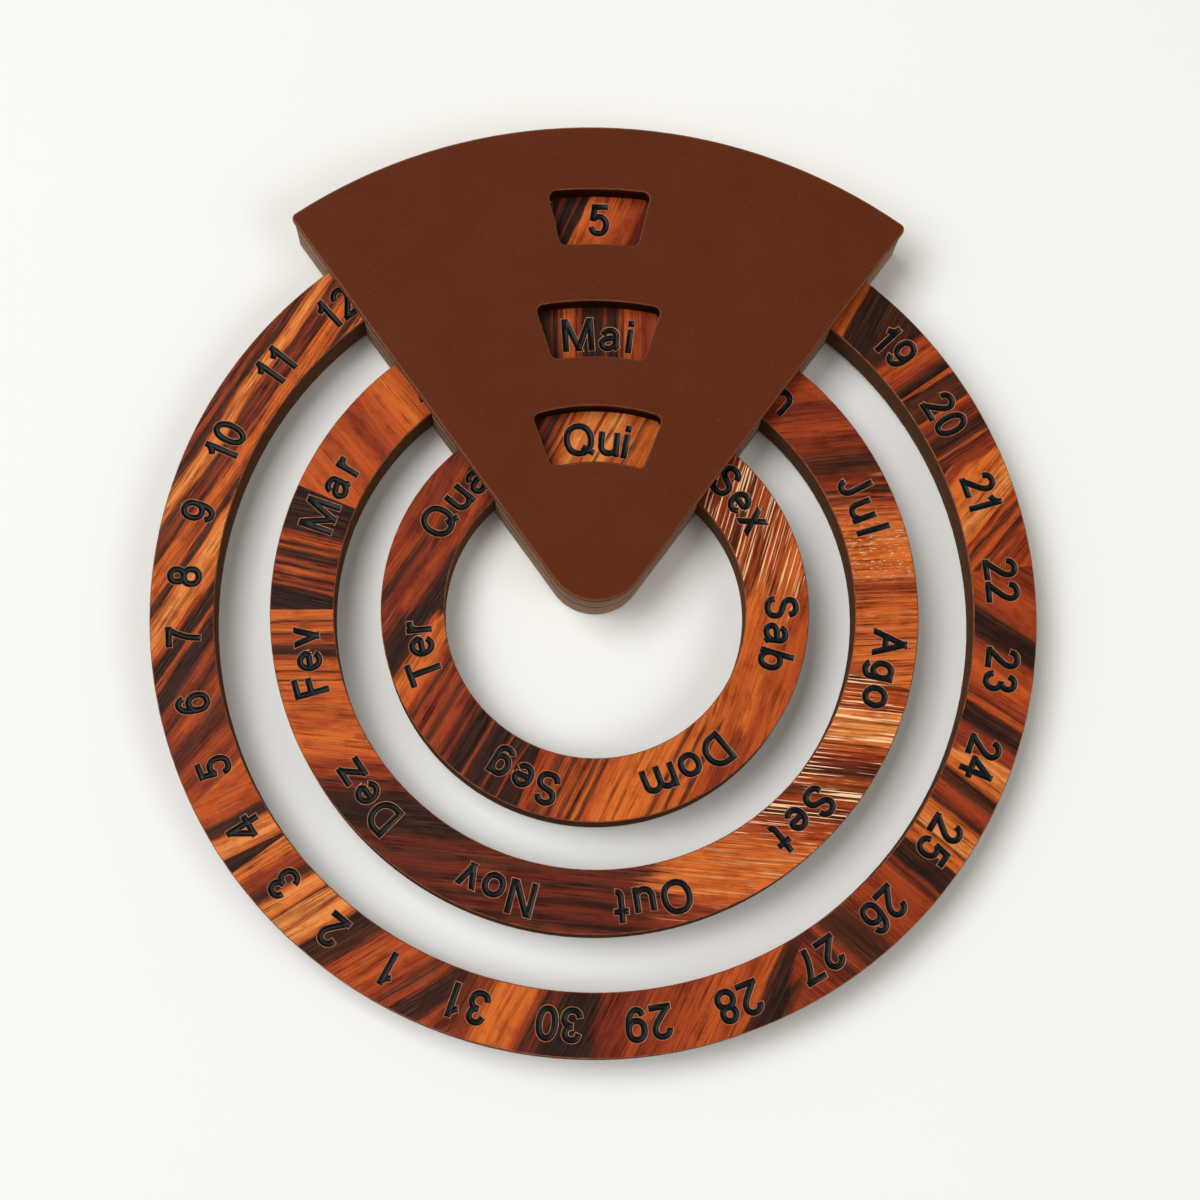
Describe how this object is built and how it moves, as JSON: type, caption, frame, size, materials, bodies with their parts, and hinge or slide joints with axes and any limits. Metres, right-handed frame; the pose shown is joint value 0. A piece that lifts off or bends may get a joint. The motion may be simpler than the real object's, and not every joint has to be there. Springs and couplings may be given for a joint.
{
  "type": "perpetual calendar",
  "caption": "Fan-shaped block holding concentric turning rings with days, months and weekdays, read through windows in its face.",
  "frame": {"origin": "centre of the outline, on the surface that the part lies on", "axes": "+X across the face to the right, +Y up the face to the middle of the fan's arc, +Z out of the face"},
  "size_m": [0.282, 0.3, 0.0253],
  "materials": {
    "face_panel": "matte chocolate-brown lacquer, faintly mottled",
    "board": "bare grey-brown fibreboard edges",
    "ring_core": "dark brown stained edges",
    "veneer": "satin figured rosewood veneer",
    "dowel": "bare beech",
    "screw_steel": "zinc plated",
    "felt": "pressed felt"
  },
  "bodies": {
    "block": {"face_panel": "face_panel", "front_board": "board", "back_board": "board", "dowels": "dowel", "back_screws": "screw_steel", "felt_feet": "felt", "day_pads": "felt", "month_pads": "felt", "weekday_pads": "felt"},
    "day_ring": {"day_ring_core": "ring_core", "day_leaf_1": "veneer", "day_leaf_2": "veneer"},
    "month_ring": {"month_ring_core": "ring_core", "month_leaf_1": "veneer", "month_leaf_2": "veneer"},
    "weekday_ring": {"weekday_ring_core": "ring_core", "weekday_leaf_1": "veneer", "weekday_leaf_2": "veneer"}
  },
  "joints": [
    {"name": "day_turn", "type": "hinge", "parent": "block", "child": "day_ring", "pos_m": [0, -0.009, 0.01], "axis": [0, 0, 1], "continuous": true},
    {"name": "month_turn", "type": "hinge", "parent": "block", "child": "month_ring", "pos_m": [0, -0.009, 0.01], "axis": [0, 0, 1], "continuous": true},
    {"name": "weekday_turn", "type": "hinge", "parent": "block", "child": "weekday_ring", "pos_m": [0, -0.009, 0.01], "axis": [0, 0, 1], "continuous": true}
  ]
}
